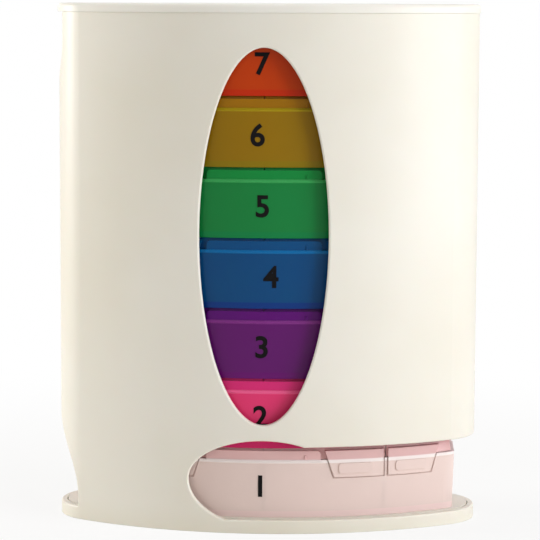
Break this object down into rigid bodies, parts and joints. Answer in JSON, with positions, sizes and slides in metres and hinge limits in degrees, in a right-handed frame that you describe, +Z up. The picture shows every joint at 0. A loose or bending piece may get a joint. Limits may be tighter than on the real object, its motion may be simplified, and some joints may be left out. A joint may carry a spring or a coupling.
{
  "type": "weekly pill dispenser tower",
  "caption": "Oval upright pill tower with an elliptical window over stacked coloured day boxes, each with hinged compartment lids; the lowest box slides out at the right end.",
  "frame": {"origin": "centre of the case's oval footprint, on the surface it stands on", "axes": "+Z up, -Y out of the window (front), +X towards the end where the lowest box slides out"},
  "size_m": [0.1474, 0.0708, 0.1803],
  "materials": {
    "case_white": "smooth satin moulding",
    "floor_white": "smooth satin moulding",
    "cover_white": "smooth satin moulding",
    "tray_clear": "clear tinted moulding",
    "lid_clear": "clear tinted moulding",
    "tray_pink": "clear tinted moulding",
    "lid_pink": "clear tinted moulding",
    "tray_purple": "clear tinted moulding",
    "lid_purple": "clear tinted moulding",
    "tray_blue": "clear tinted moulding",
    "lid_blue": "clear tinted moulding",
    "tray_green": "clear tinted moulding",
    "lid_green": "clear tinted moulding",
    "tray_yellow": "clear tinted moulding",
    "lid_yellow": "clear tinted moulding",
    "tray_orange": "clear tinted moulding",
    "lid_orange": "clear tinted moulding"
  },
  "bodies": {
    "case": {"tower_shell": "case_white", "base_plate": "floor_white"},
    "sun_box": {"sun_tray": "tray_clear"},
    "sun_lid_end_left": {"sun_lid_end_left": "lid_clear"},
    "sun_lid_middle_left": {"sun_lid_middle_left": "lid_clear"},
    "sun_lid_middle_right": {"sun_lid_middle_right": "lid_clear"},
    "sun_lid_end_right": {"sun_lid_end_right": "lid_clear"},
    "sat_box": {"sat_tray": "tray_pink"},
    "sat_lid_end_left": {"sat_lid_end_left": "lid_pink"},
    "sat_lid_middle_left": {"sat_lid_middle_left": "lid_pink"},
    "sat_lid_middle_right": {"sat_lid_middle_right": "lid_pink"},
    "sat_lid_end_right": {"sat_lid_end_right": "lid_pink"},
    "fri_box": {"fri_tray": "tray_purple"},
    "fri_lid_end_left": {"fri_lid_end_left": "lid_purple"},
    "fri_lid_middle_left": {"fri_lid_middle_left": "lid_purple"},
    "fri_lid_middle_right": {"fri_lid_middle_right": "lid_purple"},
    "fri_lid_end_right": {"fri_lid_end_right": "lid_purple"},
    "thu_box": {"thu_tray": "tray_blue"},
    "thu_lid_end_left": {"thu_lid_end_left": "lid_blue"},
    "thu_lid_middle_left": {"thu_lid_middle_left": "lid_blue"},
    "thu_lid_middle_right": {"thu_lid_middle_right": "lid_blue"},
    "thu_lid_end_right": {"thu_lid_end_right": "lid_blue"},
    "wed_box": {"wed_tray": "tray_green"},
    "wed_lid_end_left": {"wed_lid_end_left": "lid_green"},
    "wed_lid_middle_left": {"wed_lid_middle_left": "lid_green"},
    "wed_lid_middle_right": {"wed_lid_middle_right": "lid_green"},
    "wed_lid_end_right": {"wed_lid_end_right": "lid_green"},
    "tue_box": {"tue_tray": "tray_yellow"},
    "tue_lid_end_left": {"tue_lid_end_left": "lid_yellow"},
    "tue_lid_middle_left": {"tue_lid_middle_left": "lid_yellow"},
    "tue_lid_middle_right": {"tue_lid_middle_right": "lid_yellow"},
    "tue_lid_end_right": {"tue_lid_end_right": "lid_yellow"},
    "mon_box": {"mon_tray": "tray_orange"},
    "mon_lid_end_left": {"mon_lid_end_left": "lid_orange"},
    "mon_lid_middle_left": {"mon_lid_middle_left": "lid_orange"},
    "mon_lid_middle_right": {"mon_lid_middle_right": "lid_orange"},
    "mon_lid_end_right": {"mon_lid_end_right": "lid_orange"},
    "cover": {"top_cover": "cover_white"}
  },
  "joints": [
    {"name": "sun_slide", "type": "slide", "parent": "case", "child": "sun_box", "axis": [1, 0, 0], "range_m": [0, 0.15]},
    {"name": "sat_lift", "type": "slide", "parent": "case", "child": "sat_box", "axis": [0, 0, 1], "range_m": [0, 0.151]},
    {"name": "fri_lift", "type": "slide", "parent": "sat_box", "child": "fri_box", "axis": [0, 0, 1], "range_m": [0, 0.127]},
    {"name": "thu_lift", "type": "slide", "parent": "fri_box", "child": "thu_box", "axis": [0, 0, 1], "range_m": [0, 0.103]},
    {"name": "wed_lift", "type": "slide", "parent": "thu_box", "child": "wed_box", "axis": [0, 0, 1], "range_m": [0, 0.1]},
    {"name": "tue_lift", "type": "slide", "parent": "wed_box", "child": "tue_box", "axis": [0, 0, 1], "range_m": [0, 0.1]},
    {"name": "mon_lift", "type": "slide", "parent": "tue_box", "child": "mon_box", "axis": [0, 0, 1], "range_m": [0, 0.1]},
    {"name": "cover_lift", "type": "slide", "parent": "mon_box", "child": "cover", "axis": [0, 0, 1], "range_m": [0, 0.1]},
    {"name": "sun_lid_end_left_hinge", "type": "hinge", "parent": "sun_box", "child": "sun_lid_end_left", "pos_m": [-0.0535, 0.008, 0.0273], "axis": [-1, 0, 0], "range_deg": [0, 90]},
    {"name": "sun_lid_middle_left_hinge", "type": "hinge", "parent": "sun_box", "child": "sun_lid_middle_left", "pos_m": [-0.021, 0.0196, 0.0273], "axis": [-1, 0, 0], "range_deg": [0, 90]},
    {"name": "sun_lid_middle_right_hinge", "type": "hinge", "parent": "sun_box", "child": "sun_lid_middle_right", "pos_m": [0.021, 0.0196, 0.0273], "axis": [-1, 0, 0], "range_deg": [0, 90]},
    {"name": "sun_lid_end_right_hinge", "type": "hinge", "parent": "sun_box", "child": "sun_lid_end_right", "pos_m": [0.0535, 0.008, 0.0273], "axis": [-1, 0, 0], "range_deg": [0, 90]},
    {"name": "sat_lid_end_left_hinge", "type": "hinge", "parent": "sat_box", "child": "sat_lid_end_left", "pos_m": [-0.0535, 0.008, 0.0514], "axis": [-1, 0, 0], "range_deg": [0, 90]},
    {"name": "sat_lid_middle_left_hinge", "type": "hinge", "parent": "sat_box", "child": "sat_lid_middle_left", "pos_m": [-0.021, 0.0196, 0.0514], "axis": [-1, 0, 0], "range_deg": [0, 90]},
    {"name": "sat_lid_middle_right_hinge", "type": "hinge", "parent": "sat_box", "child": "sat_lid_middle_right", "pos_m": [0.021, 0.0196, 0.0514], "axis": [-1, 0, 0], "range_deg": [0, 90]},
    {"name": "sat_lid_end_right_hinge", "type": "hinge", "parent": "sat_box", "child": "sat_lid_end_right", "pos_m": [0.0535, 0.008, 0.0514], "axis": [-1, 0, 0], "range_deg": [0, 90]},
    {"name": "fri_lid_end_left_hinge", "type": "hinge", "parent": "fri_box", "child": "fri_lid_end_left", "pos_m": [-0.0535, 0.008, 0.0755], "axis": [-1, 0, 0], "range_deg": [0, 90]},
    {"name": "fri_lid_middle_left_hinge", "type": "hinge", "parent": "fri_box", "child": "fri_lid_middle_left", "pos_m": [-0.021, 0.0196, 0.0755], "axis": [-1, 0, 0], "range_deg": [0, 90]},
    {"name": "fri_lid_middle_right_hinge", "type": "hinge", "parent": "fri_box", "child": "fri_lid_middle_right", "pos_m": [0.021, 0.0196, 0.0755], "axis": [-1, 0, 0], "range_deg": [0, 90]},
    {"name": "fri_lid_end_right_hinge", "type": "hinge", "parent": "fri_box", "child": "fri_lid_end_right", "pos_m": [0.0535, 0.008, 0.0755], "axis": [-1, 0, 0], "range_deg": [0, 90]},
    {"name": "thu_lid_end_left_hinge", "type": "hinge", "parent": "thu_box", "child": "thu_lid_end_left", "pos_m": [-0.0535, 0.008, 0.0996], "axis": [-1, 0, 0], "range_deg": [0, 90]},
    {"name": "thu_lid_middle_left_hinge", "type": "hinge", "parent": "thu_box", "child": "thu_lid_middle_left", "pos_m": [-0.021, 0.0196, 0.0996], "axis": [-1, 0, 0], "range_deg": [0, 90]},
    {"name": "thu_lid_middle_right_hinge", "type": "hinge", "parent": "thu_box", "child": "thu_lid_middle_right", "pos_m": [0.021, 0.0196, 0.0996], "axis": [-1, 0, 0], "range_deg": [0, 90]},
    {"name": "thu_lid_end_right_hinge", "type": "hinge", "parent": "thu_box", "child": "thu_lid_end_right", "pos_m": [0.0535, 0.008, 0.0996], "axis": [-1, 0, 0], "range_deg": [0, 90]},
    {"name": "wed_lid_end_left_hinge", "type": "hinge", "parent": "wed_box", "child": "wed_lid_end_left", "pos_m": [-0.0535, 0.008, 0.1237], "axis": [-1, 0, 0], "range_deg": [0, 90]},
    {"name": "wed_lid_middle_left_hinge", "type": "hinge", "parent": "wed_box", "child": "wed_lid_middle_left", "pos_m": [-0.021, 0.0196, 0.1237], "axis": [-1, 0, 0], "range_deg": [0, 90]},
    {"name": "wed_lid_middle_right_hinge", "type": "hinge", "parent": "wed_box", "child": "wed_lid_middle_right", "pos_m": [0.021, 0.0196, 0.1237], "axis": [-1, 0, 0], "range_deg": [0, 90]},
    {"name": "wed_lid_end_right_hinge", "type": "hinge", "parent": "wed_box", "child": "wed_lid_end_right", "pos_m": [0.0535, 0.008, 0.1237], "axis": [-1, 0, 0], "range_deg": [0, 90]},
    {"name": "tue_lid_end_left_hinge", "type": "hinge", "parent": "tue_box", "child": "tue_lid_end_left", "pos_m": [-0.0535, 0.008, 0.1478], "axis": [-1, 0, 0], "range_deg": [0, 90]},
    {"name": "tue_lid_middle_left_hinge", "type": "hinge", "parent": "tue_box", "child": "tue_lid_middle_left", "pos_m": [-0.021, 0.0196, 0.1478], "axis": [-1, 0, 0], "range_deg": [0, 90]},
    {"name": "tue_lid_middle_right_hinge", "type": "hinge", "parent": "tue_box", "child": "tue_lid_middle_right", "pos_m": [0.021, 0.0196, 0.1478], "axis": [-1, 0, 0], "range_deg": [0, 90]},
    {"name": "tue_lid_end_right_hinge", "type": "hinge", "parent": "tue_box", "child": "tue_lid_end_right", "pos_m": [0.0535, 0.008, 0.1478], "axis": [-1, 0, 0], "range_deg": [0, 90]},
    {"name": "mon_lid_end_left_hinge", "type": "hinge", "parent": "mon_box", "child": "mon_lid_end_left", "pos_m": [-0.0535, 0.008, 0.1719], "axis": [-1, 0, 0], "range_deg": [0, 90]},
    {"name": "mon_lid_middle_left_hinge", "type": "hinge", "parent": "mon_box", "child": "mon_lid_middle_left", "pos_m": [-0.021, 0.0196, 0.1719], "axis": [-1, 0, 0], "range_deg": [0, 90]},
    {"name": "mon_lid_middle_right_hinge", "type": "hinge", "parent": "mon_box", "child": "mon_lid_middle_right", "pos_m": [0.021, 0.0196, 0.1719], "axis": [-1, 0, 0], "range_deg": [0, 90]},
    {"name": "mon_lid_end_right_hinge", "type": "hinge", "parent": "mon_box", "child": "mon_lid_end_right", "pos_m": [0.0535, 0.008, 0.1719], "axis": [-1, 0, 0], "range_deg": [0, 90]}
  ],
  "couplings": [
    {"joint": "sun_lid_end_left_hinge", "follows": "sat_lift", "rad_per_m": 10.402},
    {"joint": "sun_lid_middle_left_hinge", "follows": "sat_lift", "rad_per_m": 10.402},
    {"joint": "sun_lid_middle_right_hinge", "follows": "sat_lift", "rad_per_m": 10.402},
    {"joint": "sun_lid_end_right_hinge", "follows": "sat_lift", "rad_per_m": 10.402},
    {"joint": "sat_lid_end_left_hinge", "follows": "fri_lift", "rad_per_m": 12.368},
    {"joint": "sat_lid_middle_left_hinge", "follows": "fri_lift", "rad_per_m": 12.368},
    {"joint": "sat_lid_middle_right_hinge", "follows": "fri_lift", "rad_per_m": 12.368},
    {"joint": "sat_lid_end_right_hinge", "follows": "fri_lift", "rad_per_m": 12.368},
    {"joint": "fri_lid_end_left_hinge", "follows": "thu_lift", "rad_per_m": 15.249},
    {"joint": "fri_lid_middle_left_hinge", "follows": "thu_lift", "rad_per_m": 15.249},
    {"joint": "fri_lid_middle_right_hinge", "follows": "thu_lift", "rad_per_m": 15.249},
    {"joint": "fri_lid_end_right_hinge", "follows": "thu_lift", "rad_per_m": 15.249},
    {"joint": "thu_lid_end_left_hinge", "follows": "wed_lift", "rad_per_m": 15.707},
    {"joint": "thu_lid_middle_left_hinge", "follows": "wed_lift", "rad_per_m": 15.707},
    {"joint": "thu_lid_middle_right_hinge", "follows": "wed_lift", "rad_per_m": 15.707},
    {"joint": "thu_lid_end_right_hinge", "follows": "wed_lift", "rad_per_m": 15.707},
    {"joint": "wed_lid_end_left_hinge", "follows": "tue_lift", "rad_per_m": 15.707},
    {"joint": "wed_lid_middle_left_hinge", "follows": "tue_lift", "rad_per_m": 15.707},
    {"joint": "wed_lid_middle_right_hinge", "follows": "tue_lift", "rad_per_m": 15.707},
    {"joint": "wed_lid_end_right_hinge", "follows": "tue_lift", "rad_per_m": 15.707},
    {"joint": "tue_lid_end_left_hinge", "follows": "mon_lift", "rad_per_m": 15.707},
    {"joint": "tue_lid_middle_left_hinge", "follows": "mon_lift", "rad_per_m": 15.707},
    {"joint": "tue_lid_middle_right_hinge", "follows": "mon_lift", "rad_per_m": 15.707},
    {"joint": "tue_lid_end_right_hinge", "follows": "mon_lift", "rad_per_m": 15.707},
    {"joint": "mon_lid_end_left_hinge", "follows": "cover_lift", "rad_per_m": 15.707},
    {"joint": "mon_lid_middle_left_hinge", "follows": "cover_lift", "rad_per_m": 15.707},
    {"joint": "mon_lid_middle_right_hinge", "follows": "cover_lift", "rad_per_m": 15.707},
    {"joint": "mon_lid_end_right_hinge", "follows": "cover_lift", "rad_per_m": 15.707}
  ]
}
